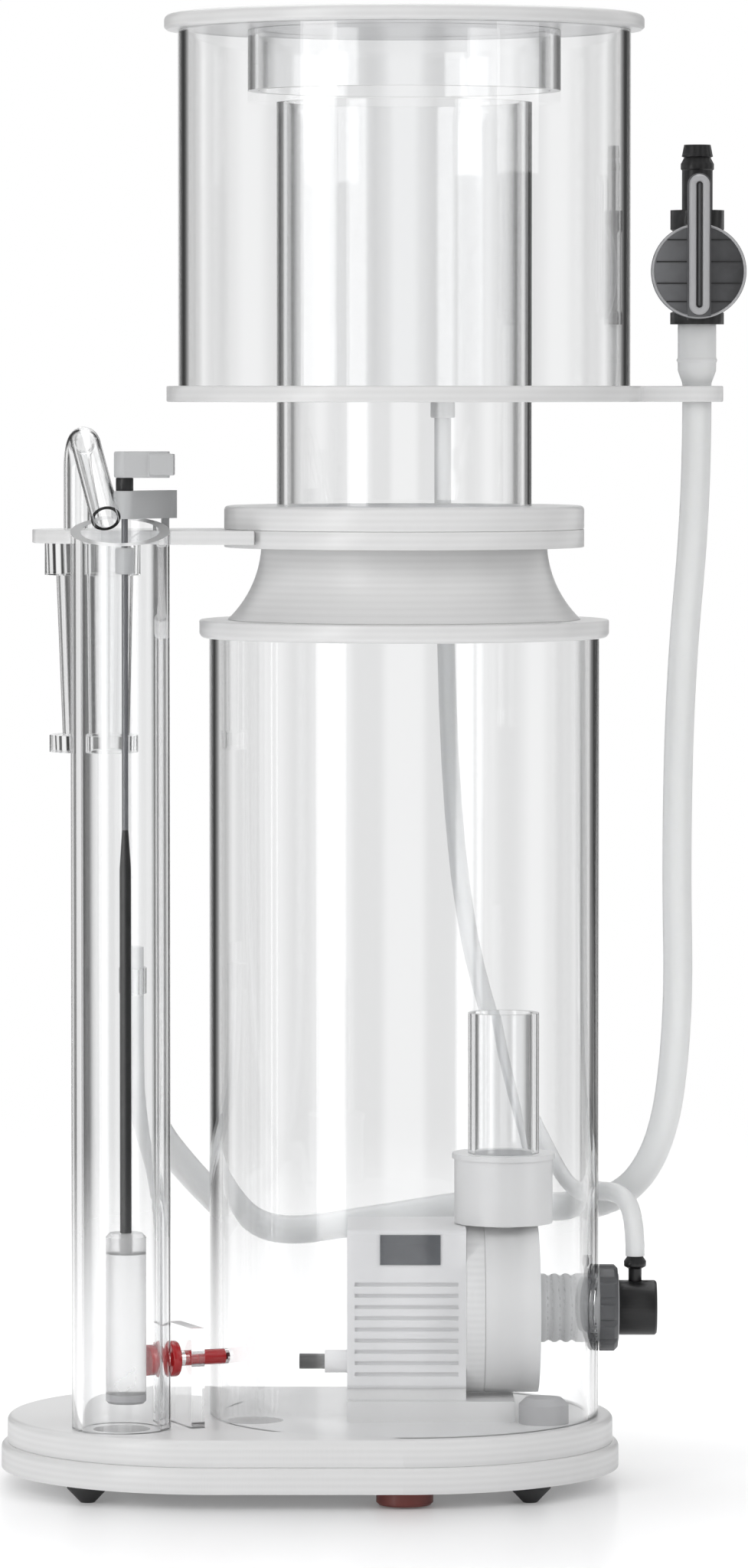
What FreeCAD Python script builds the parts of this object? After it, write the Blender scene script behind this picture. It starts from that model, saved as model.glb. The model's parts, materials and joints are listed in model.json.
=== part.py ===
"""Protein skimmer for a marine aquarium, as a parametric FreeCAD document (millimetres, +Z up).

The reaction chamber is a clear tube on an obround base plate.  A bell-shaped reducer and a
collar carry the foam neck and the collection cup.  A needle-wheel pump stands inside the chamber and
draws through a nozzle in its wall.  Beside it a standpipe with a plunger sets the water level.
Levels are stacked from the floor up; plan positions are measured from the chamber's own axis.
"""
import FreeCAD, Part
import math
import os
import Sketcher

Vec = FreeCAD.Vector
doc = FreeCAD.newDocument("protein_skimmer")
sheet = doc.addObject("Spreadsheet::Sheet", "dims")

SIZES = [
    # base
    ("foot_height", 6.5), ("foot_top_dia", 16), ("foot_tip_dia", 5.5), ("foot_stud_dia", 5),
    ("foot_stud_length", 6), ("foot_from_end", 36), ("foot_from_side", 26),
    ("base_length", 243), ("base_width", 170), ("base_shift", 37), ("base_lower", 10),
    ("base_upper", 10.5), ("base_round", 2.5), ("base_step", 2.4),
    ("channel_width", 26), ("channel_depth", 5), ("channel_hole_dia", 22),
    ("channel_inner_x", -58), ("channel_inner_y", -22),
    ("plug_dia", 22), ("plug_head", 5.8), ("plug_stub_dia", 12), ("plug_stub", 6), ("plug_y", -69),
    # reaction chamber
    ("body_dia", 153), ("body_wall", 4), ("body_height", 305.4),
    ("flange_dia", 160.5), ("flange_thick", 7), ("flange_step", 1.2),
    ("cone_low_dia", 138.7), ("cone_top_dia", 112), ("cone_height", 28.4), ("cone_wall", 4),
    ("cone_curve", 42),
    # collar, cup ring and arm
    ("collar_dia", 141), ("collar_thick", 7), ("ring_thick", 9.2), ("spigot_length", 12),
    ("ring_seal_dia", 2.5),
    ("arm_thick", 5.3), ("arm_end_dia", 51), ("arm_front", 46),
    # neck and cup
    ("neck_dia", 100), ("neck_wall", 4), ("neck_show", 40.5), ("neck_rise", 110.4),
    ("plate_dia", 186), ("plate_thick", 6.3), ("ear_reach", 124.8), ("ear_width", 20.6),
    ("cup_dia", 177), ("cup_wall", 4), ("cup_height", 138.6),
    ("lid_dia", 187.5), ("lid_thick", 6), ("lid_round", 2.4),
    ("lid_ring_dia", 122.4), ("lid_ring_wall", 4), ("lid_ring_depth", 23.7),
    # tap, hoses and the port under the cup plate
    ("hose_dia", 11.4), ("hose_bore", 8), ("cuff_dia", 15), ("cuff_height", 24),
    ("tap_shoulder_dia", 21), ("tap_body_dia", 17), ("tap_neck_dia", 12), ("tap_barb_dia", 13),
    ("tap_bore", 6), ("tap_plug_dia", 10), ("tap_disc_dia", 37), ("tap_disc_thick", 6),
    ("tap_grip_width", 9), ("tap_grip_thick", 4),
    ("clip_height", 10), ("clip_low", 167), ("clip_wall", 2.2), ("clip_x", -104), ("clip_y", -14),
    ("air_hose_dia", 7.5), ("air_hose_bore", 4.5), ("port_dia", 11), ("port_height", 6.5),
    ("port_x", 17.3), ("port_y", 76),
    # standpipe, plunger and level control
    ("pipe_dia", 38.4), ("pipe_wall", 4), ("pipe_x", -109.8), ("pipe_y", -46), ("pipe_height", 353),
    ("pipe_slant", 15.5),
    ("rod_x", -108), ("rod_dia", 4.5), ("rod_thin_dia", 2.5), ("rod_thick_length", 149.2),
    ("rod_taper", 15), ("rod_length", 300.8), ("rod_sleeve_dia", 7.4), ("rod_sleeve_length", 10.3),
    ("plunger_dia", 15.7), ("plunger_length", 54.6), ("plunger_cap", 8), ("plunger_lift", 13.6),
    ("plunger_seal", 3.6),
    ("bracket_height", 10.8), ("bracket_gap", 4.7), ("bracket_hub_dia", 8.2), ("bracket_end_dia", 9.2),
    ("post_dia", 3.2), ("post_x", -93), ("post_y", -22),
    ("washer_dia", 6.8), ("washer_height", 5), ("lever_height", 10.2), ("lever_reach", 19.3),
    ("lever_width", 11),
    # outlet sleeve and vent tube
    ("outlet_x", -120), ("outlet_y", -3), ("outlet_collar_dia", 41.4), ("outlet_collar", 12.5),
    ("outlet_length", 81.7), ("outlet_top_dia", 32.4), ("outlet_low_dia", 27.6), ("outlet_wall", 2.6),
    ("outlet_ring_dia", 38), ("outlet_ring", 6.6),
    ("vent_dia", 11.5), ("vent_bore", 8.8), ("vent_x", -127.2), ("vent_y", -10), ("vent_corner", 44.8),
    ("vent_bend", 11), ("vent_end_x", -114.6), ("vent_end_y", -64), ("vent_end_rise", 5.2),
    # brace between standpipe and chamber
    ("bolt_dia", 6), ("bolt_height", 26), ("bolt_head_dia", 12), ("bolt_head", 3.4),
    ("brace_nut_dia", 14), ("brace_nut", 3.6), ("brace_plate", 5.5), ("brace_plate_width", 26),
    ("brace_plate_height", 39), ("brace_gap", 1.25),
    # pump
    ("pump_rise", 41.5), ("motor_length", 46.2), ("motor_depth", 50), ("motor_low", 12.6),
    ("motor_height", 62.4), ("pump_from_wall", 20), ("motor_groove", 1.4), ("motor_groove_pitch", 4.4),
    ("motor_round", 2), ("label_width", 23.4), ("label_height", 11.7), ("label_thick", 0.6),
    ("foot_plate", 8), ("foot_plate_length", 65), ("foot_plate_depth", 56), ("foot_step", 5),
    ("pump_flange", 7.5), ("chamber_dia", 66), ("chamber_length", 21), ("chamber_wall", 3),
    ("outlet_neck_dia", 15), ("outlet_neck_bore", 11), ("outlet_neck_rise", 4.5),
    ("outlet_from_flange", 7.6), ("socket_gap", 0.9),
    ("socket_dia", 38.7), ("socket_rim_dia", 40.5), ("socket_height", 27.4), ("socket_floor", 3.6),
    ("riser_dia", 28), ("riser_wall", 2.5), ("riser_height", 79),
    ("rotor_dia", 20), ("rotor_length", 30), ("rotor_gap", 1), ("shaft_dia", 5),
    ("bush_dia", 11), ("bush_length", 3.5), ("wheel_dia", 50), ("wheel_thick", 3),
    ("needle_dia", 2.4), ("needle_length", 6),
    ("gland_height", 17.4), ("gland_dia", 9), ("gland_length", 9), ("boot_dia", 6), ("boot_length", 10),
    # intake through the chamber wall
    ("union_dia", 27), ("union_bore", 19), ("union_past_wall", 7.9), ("nut_dia", 34), ("nut_thick", 7.2),
    ("nozzle_dia", 21.6), ("nozzle_bore", 15), ("nozzle_length", 15), ("nozzle_tail", 18),
    ("nipple_dia", 5.2), ("nipple_cap_dia", 8.7), ("nipple_rise", 9.6), ("nipple_bore", 2.6),
    ("nipple_from_face", 8.5),
    ("bung_dia", 18.4), ("bung_height", 10), ("bung_gap", 2.1), ("bung_angle", -29.4), ("bung_round", 2.5),
    # clearances
    ("running_gap", 0.05), ("slip_gap", 0.3), ("glue_gap", 0.02),
]

# Layers from the floor up; a level is named after the layer below it.
STACK = ["foot_height", "base_lower", "base_upper", "body_height", "flange_thick", "cone_height",
         "collar_thick", "ring_thick", "neck_show", "plate_thick", "cup_height", "lid_thick"]

# The origin is midway between the base plate's left end and the right edge of the tap's disc.
AXIS = ("((dims.base_length / 2 + dims.base_shift - dims.ear_reach + dims.ear_width / 2"
        " - dims.tap_disc_dia / 2) / 2)")

NODES = []


def fill_sheet():
    for row, (alias, number) in enumerate(SIZES, 1):
        sheet.set(f"A{row}", alias)
        sheet.set(f"B{row}", str(number))
        sheet.setAlias(f"B{row}", alias)
    doc.recompute()


def dim(alias):
    return f"dims.{alias}"


def above(layer):
    """Expression for the height of the top of a layer of the stack."""
    return "(" + " + ".join(dim(name) for name in STACK[:STACK.index(layer) + 1]) + ")"


def number(expression):
    """The value of an expression, in millimetres or degrees."""
    result = sheet.evalExpression(str(expression))
    return float(getattr(result, "Value", result))


def place(item, x="0", y="0", z="0", rotation=None):
    """Put an object at plan position x, y from the chamber's axis and height z."""
    if rotation is not None:
        item.Placement = FreeCAD.Placement(Vec(0, 0, 0), rotation)
    item.setExpression("Placement.Base.x", f"{AXIS} + {x}")
    item.setExpression("Placement.Base.y", str(y))
    item.setExpression("Placement.Base.z", str(z))
    return item


ALONG_X = FreeCAD.Rotation(Vec(0, 1, 0), 90)
ALONG_Y = FreeCAD.Rotation(Vec(1, 0, 0), -90)


def node(item, label):
    item.Label = label
    NODES.append(item)
    return item


def cylinder(name, dia, height, x="0", y="0", z="0", rotation=None):
    item = doc.addObject("Part::Cylinder", name)
    item.setExpression("Radius", f"({dia}) / 2")
    item.setExpression("Height", str(height))
    return place(item, x, y, z, rotation)


def box(name, length, width, height, x="0", y="0", z="0", rotation=None):
    item = doc.addObject("Part::Box", name)
    item.setExpression("Length", str(length))
    item.setExpression("Width", str(width))
    item.setExpression("Height", str(height))
    return place(item, x, y, z, rotation)


def fuse(name, shapes):
    item = doc.addObject("Part::MultiFuse", name)
    item.Shapes = shapes
    item.Refine = True
    return item


def cut(name, base, tools):
    item = doc.addObject("Part::Cut", name)
    item.Base = base
    item.Tool = tools[0] if len(tools) == 1 else fuse(name + "_tools", tools)
    item.Refine = True
    return item


def origin_plane(body, role):
    return next(item for item in body.Origin.OriginFeatures if item.Role == role)


def pin_vertex(sketch, geo, end, x, y):
    """Hold one end of a sketch line or arc at the expressions x and y."""
    for axis, kind, text in ((-2, "DistanceX", x), (-1, "DistanceY", y)):
        if str(text) == "0":
            sketch.addConstraint(Sketcher.Constraint("PointOnObject", geo, end, axis))
            continue
        index = sketch.addConstraint(Sketcher.Constraint(kind, -1, 1, geo, end, number(text)))
        sketch.setExpression(f"Constraints[{index}]", str(text))


def arc_between(start, end, radius):
    """Minor arc, as a counter-clockwise arc of a circle, and the ends it has at start and end.

    A positive radius bulges to the left of the way from start to end."""
    chord = end - start
    half = chord.Length / 2
    left = Vec(-chord.y, chord.x, 0).normalize()
    offset = math.sqrt(radius * radius - half * half)
    centre = (start + end) * 0.5 - left * math.copysign(offset, radius)
    first, last = (end, start) if radius > 0 else (start, end)
    angles = [math.atan2(spot.y - centre.y, spot.x - centre.x) for spot in (first, last)]
    if angles[1] < angles[0]:
        angles[1] += 2 * math.pi
    circle = Part.Circle(centre, Vec(0, 0, 1), abs(radius))
    return Part.ArcOfCircle(circle, *angles), (2, 1) if radius > 0 else (1, 2)


def outline(body, name, plane, points):
    """Closed sketch through points (x, y) or (x, y, radius of the arc to the next point)."""
    sketch = body.newObject("Sketcher::SketchObject", name)
    sketch.AttachmentSupport = (origin_plane(body, plane), [""])
    sketch.MapMode = "FlatFace"
    places = [Vec(number(point[0]), number(point[1]), 0) for point in points]
    ends = []
    for i, point in enumerate(points):
        start, end = places[i], places[(i + 1) % len(points)]
        if len(point) == 3:
            arc, order = arc_between(start, end, number(point[2]))
            sketch.addGeometry(arc)
            ends.append(order)
        else:
            sketch.addGeometry(Part.LineSegment(start, end))
            ends.append((1, 2))
    for i in range(len(points)):
        after = (i + 1) % len(points)
        sketch.addConstraint(Sketcher.Constraint("Coincident", i, ends[i][1], after, ends[after][0]))
    for i, point in enumerate(points):
        pin_vertex(sketch, i, ends[i][0], point[0], point[1])
        if len(point) == 3:
            size = sketch.addConstraint(Sketcher.Constraint("Radius", i, abs(number(point[2]))))
            sketch.setExpression(f"Constraints[{size}]", f"abs({point[2]})")
    return sketch


def turned(label, profile, x="0", y="0", z="0", rotation=None):
    """A turned piece: a closed profile of (radius, height) points spun about its own axis."""
    body = doc.addObject("PartDesign::Body", label + "_body")
    sketch = outline(body, label + "_profile", "XZ_Plane", profile)
    spin = body.newObject("PartDesign::Revolution", label + "_spin")
    spin.Profile = sketch
    spin.ReferenceAxis = (sketch, ["V_Axis"])
    spin.Angle = 360
    return place(body, x, y, z, rotation)


def tube(label, dia, bore, low, high, x="0", y="0", z="0", rotation=None):
    """A plain turned tube from height low to height high."""
    outer, inner = f"({dia}) / 2", f"({bore}) / 2"
    profile = [(inner, low), (outer, low), (outer, high), (inner, high)]
    return turned(label, profile, x, y, z, rotation)


def obround_pad(label, length, width, height, rounding):
    """An obround plate centred on its own origin, its upper edge rounded."""
    body = doc.addObject("PartDesign::Body", label + "_body")
    sketch = body.newObject("Sketcher::SketchObject", label + "_outline")
    sketch.AttachmentSupport = (origin_plane(body, "XY_Plane"), [""])
    sketch.MapMode = "FlatFace"
    radius = number(f"({width}) / 2")
    half = number(f"({length}) / 2") - radius
    up = Vec(0, 0, 1)
    quarter = math.pi / 2
    sketch.addGeometry([
        Part.ArcOfCircle(Part.Circle(Vec(-half, 0, 0), up, radius), quarter, 3 * quarter),
        Part.LineSegment(Vec(-half, -radius, 0), Vec(half, -radius, 0)),
        Part.ArcOfCircle(Part.Circle(Vec(half, 0, 0), up, radius), -quarter, quarter),
        Part.LineSegment(Vec(half, radius, 0), Vec(-half, radius, 0)),
    ])
    for first, second in ((0, 1), (1, 2), (2, 3), (3, 0)):
        sketch.addConstraint(Sketcher.Constraint("Tangent", first, 2, second, 1))
    sketch.addConstraint(Sketcher.Constraint("Horizontal", 1))
    sketch.addConstraint(Sketcher.Constraint("Horizontal", 3))
    sketch.addConstraint(Sketcher.Constraint("Symmetric", 0, 3, 2, 3, -1, 1))
    size = sketch.addConstraint(Sketcher.Constraint("Radius", 0, radius))
    sketch.setExpression(f"Constraints[{size}]", f"({width}) / 2")
    span = sketch.addConstraint(Sketcher.Constraint("DistanceX", 0, 3, 2, 3, 2 * half))
    sketch.setExpression(f"Constraints[{span}]", f"({length}) - ({width})")
    pad = body.newObject("PartDesign::Pad", label + "_pad")
    pad.Profile = sketch
    pad.setExpression("Length", str(height))
    doc.recompute()
    top = pad.Shape.BoundBox.ZMax
    names = [f"Edge{i}" for i, edge in enumerate(pad.Shape.Edges, 1) if edge.BoundBox.ZMin > top - 1e-6]
    fillet = body.newObject("PartDesign::Fillet", label + "_fillet")
    fillet.Base = (pad, names)
    fillet.setExpression("Radius", str(rounding))
    return body


def solid_node(label, shape):
    """A node whose shape is made with Part's own functions from sizes of the sheet."""
    item = doc.addObject("Part::Feature", label + "_solid")
    item.Shape = shape
    return node(item, label)


def at_axis(x, y, z):
    """A point given from the chamber's axis, in the document's frame."""
    return Vec(number(AXIS) + x, y, z)


# ---------------------------------------------------------------- base

FOOT_SPOTS = [(sx, sy) for sx in (-1, 1) for sy in (-1, 1)]


def foot_place(sx, sy):
    x = f"(-{dim('base_shift')} + {sx} * ({dim('base_length')} / 2 - {dim('foot_from_end')}))"
    y = f"({sy} * ({dim('base_width')} / 2 - {dim('foot_from_side')}))"
    return x, y


def build_base():
    shift = f"(-{dim('base_shift')})"
    low_top = above("base_lower")
    floor = above("base_upper")

    lower = place(obround_pad("lower_plate", dim("base_length"), dim("base_width"), dim("base_lower"),
                              dim("base_round")), shift, "0", dim("foot_height"))
    step = dim("base_step")
    upper = place(obround_pad("upper_plate", f"{dim('base_length')} - 2 * {step}",
                              f"{dim('base_width')} - 2 * {step}", dim("base_upper"),
                              dim("base_round")), shift, "0", low_top)

    # A covered channel joins the chamber's floor to the foot of the standpipe.
    run_x = f"({dim('channel_inner_x')} - {dim('pipe_x')})"
    run_y = f"({dim('channel_inner_y')} - {dim('pipe_y')})"
    angle = math.degrees(math.atan2(number(run_y), number(run_x)))
    turn = FreeCAD.Rotation(Vec(0, 0, 1), angle)
    side = Vec(0, -0.5, 0)
    side = turn.multVec(side)
    channel_z = f"{low_top} - {dim('channel_depth')}"
    slot = box("channel_run", f"sqrt({run_x}^2 + {run_y}^2)", dim("channel_width"),
               dim("channel_depth"), f"{dim('pipe_x')} + {side.x} * {dim('channel_width')}",
               f"{dim('pipe_y')} + {side.y} * {dim('channel_width')}", channel_z, turn)
    ends = [
        cylinder("channel_outer_end", dim("channel_width"), dim("channel_depth"), dim("pipe_x"),
                 dim("pipe_y"), channel_z),
        cylinder("channel_inner_end", dim("channel_width"), dim("channel_depth"),
                 dim("channel_inner_x"), dim("channel_inner_y"), channel_z),
    ]
    tools = [slot] + ends
    for i, (sx, sy) in enumerate(FOOT_SPOTS):
        x, y = foot_place(sx, sy)
        stud = f"{dim('foot_stud_dia')} + 2 * {dim('glue_gap')}"
        length = f"{dim('foot_stud_length')} + {dim('glue_gap')}"
        tools.append(cylinder(f"stud_hole_{i}", stud, length, x, y, dim("foot_height")))
    tools.append(cylinder("plug_hole", f"{dim('plug_stub_dia')} + 2 * {dim('running_gap')}",
                          f"{dim('plug_stub')} + {dim('slip_gap')}", "0", dim("plug_y"),
                          dim("foot_height")))
    node(cut("lower_plate_cut", lower, tools), "base_lower_plate")

    holes = [
        cylinder("pipe_hole", dim("channel_hole_dia"), dim("base_upper"), dim("pipe_x"),
                 dim("pipe_y"), low_top),
        cylinder("floor_hole", dim("channel_hole_dia"), dim("base_upper"), dim("channel_inner_x"),
                 dim("channel_inner_y"), low_top),
    ]
    node(cut("upper_plate_cut", upper, holes), "base_upper_plate")

    feet = []
    for i, (sx, sy) in enumerate(FOOT_SPOTS):
        x, y = foot_place(sx, sy)
        top, tip, stud = (f"{dim(name)} / 2" for name in ("foot_top_dia", "foot_tip_dia", "foot_stud_dia"))
        profile = [("0", "0"), (tip, "0"), (top, f"{dim('foot_height')} - 1"), (top, dim("foot_height")),
                   (stud, dim("foot_height")),
                   (stud, f"{dim('foot_height')} + {dim('foot_stud_length')}"),
                   ("0", f"{dim('foot_height')} + {dim('foot_stud_length')}")]
        feet.append(turned(f"foot_{i}", profile, x, y))
    group = doc.addObject("Part::Compound", "feet_group")
    group.Links = feet
    node(group, "rubber_feet")

    head, stub = f"{dim('plug_dia')} / 2", f"{dim('plug_stub_dia')} / 2"
    low = f"{dim('foot_height')} - {dim('plug_head')}"
    profile = [("0", low), (f"{head} - 1", low), (head, f"{low} + 1"),
               (head, f"{dim('foot_height')} - {dim('running_gap')}"),
               (stub, f"{dim('foot_height')} - {dim('running_gap')}"),
               (stub, f"{dim('foot_height')} + {dim('plug_stub')}"),
               ("0", f"{dim('foot_height')} + {dim('plug_stub')}")]
    node(turned("plug", profile, "0", dim("plug_y")), "drain_plug")

    bung, edge = f"{dim('bung_dia')} / 2", dim("bung_round")
    top = f"{floor} + {dim('bung_height')}"
    profile = [("0", floor), (bung, floor), (bung, f"{top} - {edge}"), (f"{bung} - {edge}", top),
               ("0", top)]
    reach = f"({dim('body_dia')} / 2 - {dim('body_wall')} - {bung} - {dim('bung_gap')})"
    angle = math.radians(number(dim("bung_angle")))
    node(turned("bung", profile, f"{math.cos(angle)} * {reach}", f"{math.sin(angle)} * {reach}"),
         "floor_bung")


# ---------------------------------------------------------------- reaction chamber

def brace_angle():
    """Direction from the chamber's axis to the standpipe, in degrees."""
    return math.degrees(math.atan2(number(dim("pipe_y")), number(dim("pipe_x"))))


def radial_rotation():
    return FreeCAD.Rotation(Vec(0, 0, 1), brace_angle()).multiply(ALONG_X)


def radial_place(item, distance, height):
    """Place an object at a distance from the chamber's axis, towards the standpipe."""
    angle = math.radians(brace_angle())
    place(item, f"{math.cos(angle)} * ({distance})", f"{math.sin(angle)} * ({distance})", height,
          radial_rotation())
    return item


def bolt_level():
    return f"({above('base_upper')} + {dim('bolt_height')})"


def pump_level():
    return f"({above('base_upper')} + {dim('pump_rise')})"


def motor_left():
    """Where the pump's motor starts, so that its chamber keeps its distance from the tube's wall."""
    parts = ("body_wall", "pump_from_wall", "chamber_length", "pump_flange", "motor_length")
    return f"({dim('body_dia')} / 2 - " + " - ".join(dim(part) for part in parts) + ")"


def union_end():
    return f"({dim('body_dia')} / 2 + {dim('union_past_wall')})"


def build_chamber():
    floor, top = above("base_upper"), above("body_height")
    bore = f"{dim('body_dia')} - 2 * {dim('body_wall')}"
    shell = tube("chamber_tube", dim("body_dia"), bore, floor, top)
    wall_hole = cylinder("wall_hole", f"{dim('union_dia')} + 2 * {dim('glue_gap')}",
                         f"3 * {dim('body_wall')}", f"{dim('body_dia')} / 2 - 2 * {dim('body_wall')}", "0",
                         pump_level(), ALONG_X)
    bolt_hole = cylinder("bolt_hole", f"{dim('bolt_dia')} + 2 * {dim('glue_gap')}",
                         f"3 * {dim('body_wall')}")
    radial_place(bolt_hole, f"{dim('body_dia')} / 2 - 2 * {dim('body_wall')}", bolt_level())
    node(cut("chamber_tube_cut", shell, [wall_hole, bolt_hole]), "body_tube")

    inner, outer = f"({bore}) / 2", f"{dim('flange_dia')} / 2"
    low, high = above("body_height"), above("flange_thick")
    profile = [(inner, low), (f"{outer} - {dim('flange_step')}", low), (outer, f"{low} + 1.5"),
               (outer, high), (inner, high)]
    profile[-1] = (f"{dim('cone_low_dia')} / 2 - {dim('cone_wall')}", high)
    profile.append((f"{dim('cone_low_dia')} / 2 - {dim('cone_wall')}", f"{high} - 2"))
    profile.append((inner, f"{high} - 2"))
    node(turned("flange", profile), "top_flange")

    low, high = above("flange_thick"), above("cone_height")
    wide, narrow = f"{dim('cone_low_dia')} / 2", f"{dim('cone_top_dia')} / 2"
    wall, curve = dim("cone_wall"), dim("cone_curve")
    profile = [(f"{wide} - {wall}", low), (wide, low, curve), (narrow, high),
               (f"{narrow} - {wall}", high, f"-({curve} + {wall})")]
    node(turned("reducer", profile), "cone_reducer")


def build_collar():
    low, high = above("cone_height"), above("collar_thick")
    bore = f"{dim('neck_dia')} + 2 * {dim('running_gap')}"
    ring = tube("collar_ring", dim("collar_dia"), bore, low, high)
    arm_low = f"{high} - {dim('arm_thick')}"
    end = dim("arm_end_dia")
    arm_parts = [
        ring,
        cylinder("arm_end", end, dim("arm_thick"), dim("outlet_x"), dim("outlet_y"), arm_low),
        box("arm_bar", f"-{dim('outlet_x')} - {dim('neck_dia')} / 2 - 5", end, dim("arm_thick"),
            dim("outlet_x"), f"{dim('outlet_y')} - {end} / 2", arm_low),
        box("arm_shoulder", f"-{dim('pipe_x')} - {dim('neck_dia')} / 2 - 8",
            f"{dim('arm_front')} + {dim('outlet_y')}", dim("arm_thick"), dim("pipe_x"),
            f"-{dim('arm_front')}", arm_low),
    ]
    solid = fuse("collar_and_arm", arm_parts)
    tools = [
        cylinder("pipe_seat", f"{dim('pipe_dia')} + 2 * {dim('slip_gap')}", dim("arm_thick"),
                 dim("pipe_x"), dim("pipe_y"), arm_low),
        cylinder("vent_hole", f"{dim('vent_dia')} + 2 * {dim('glue_gap')}", dim("arm_thick"),
                 dim("vent_x"), dim("vent_y"), arm_low),
        cylinder("post_hole", f"{dim('post_dia')} + 2 * {dim('glue_gap')}", dim("arm_thick"),
                 dim("post_x"), dim("post_y"), arm_low),
        cylinder("collar_clear", bore, dim("collar_thick"), "0", "0", low),
    ]
    node(cut("collar_cut", solid, tools), "body_collar")


# ---------------------------------------------------------------- neck, cup and lid

def build_cup():
    neck_low = f"{above('collar_thick')} - {dim('spigot_length')}"
    neck_top = f"{above('plate_thick')} + {dim('neck_rise')}"
    bore = f"{dim('neck_dia')} - 2 * {dim('neck_wall')}"
    node(tube("neck", dim("neck_dia"), bore, neck_low, neck_top), "neck_tube")

    low, high = above("collar_thick"), above("ring_thick")
    inner, outer = f"{dim('neck_dia')} / 2 + {dim('glue_gap')}", f"{dim('collar_dia')} / 2"
    seal = dim("ring_seal_dia")
    groove = f"({dim('cone_top_dia')} / 2)"
    profile = [(inner, low), (groove, low), (groove, f"{low} + {seal}"),
               (f"{groove} + {seal}", f"{low} + {seal}"), (f"{groove} + {seal}", low), (outer, low),
               (outer, f"{high} - 1"), (f"{outer} - 1", high), (inner, high)]
    node(turned("clamp_ring", profile), "cup_ring")

    ring = doc.addObject("Part::Torus", "seal_ring")
    ring.setExpression("Radius1", f"{groove} + {seal} / 2")
    ring.setExpression("Radius2", f"{seal} / 2 - {dim('glue_gap')}")
    place(ring, "0", "0", f"{low} + {seal} / 2")
    node(ring, "neck_seal")

    low = above("neck_show")
    ear_x = f"({dim('ear_reach')} - {dim('ear_width')} / 2)"
    plate = fuse("cup_plate_body", [
        cylinder("cup_disc", dim("plate_dia"), dim("plate_thick"), "0", "0", low),
        box("ear_bar", f"{ear_x} - {dim('plate_dia')} / 4", dim("ear_width"), dim("plate_thick"),
            f"{dim('plate_dia')} / 4", f"-{dim('ear_width')} / 2", low),
        cylinder("ear_end", dim("ear_width"), dim("plate_thick"), ear_x, "0", low),
    ])
    tools = [
        cylinder("neck_hole", f"{dim('neck_dia')} + 2 * {dim('glue_gap')}", dim("plate_thick"), "0",
                 "0", low),
        cylinder("ear_hole", f"{dim('hose_dia')} + 2 * {dim('glue_gap')}", dim("plate_thick"), ear_x, "0",
                 low),
    ]
    node(cut("cup_plate_cut", plate, tools), "cup_bottom_plate")

    floor, top = above("plate_thick"), above("cup_height")
    node(tube("cup_shell", dim("cup_dia"), f"{dim('cup_dia')} - 2 * {dim('cup_wall')}", floor, top),
         "cup_wall")

    port = tube("port", dim("port_dia"), dim("air_hose_bore"), f"{low} - {dim('port_height')}", low,
                dim("port_x"), dim("port_y"))
    node(port, "air_port")

    edge = f"{dim('lid_dia')} / 2"
    low, high, soft = above("cup_height"), above("lid_thick"), dim("lid_round")
    profile = [("0", low), (f"{edge} - 1", low), (edge, f"{low} + 1"),
               (edge, f"{high} - {soft}", f"-{soft} * 1.001"), (f"{edge} - {soft}", high), ("0", high)]
    node(turned("lid_disc", profile), "lid")
    node(tube("lid_skirt", dim("lid_ring_dia"), f"{dim('lid_ring_dia')} - 2 * {dim('lid_ring_wall')}",
              f"{low} - {dim('lid_ring_depth')}", low), "lid_ring")


# ---------------------------------------------------------------- hose tap on the ear

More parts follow.
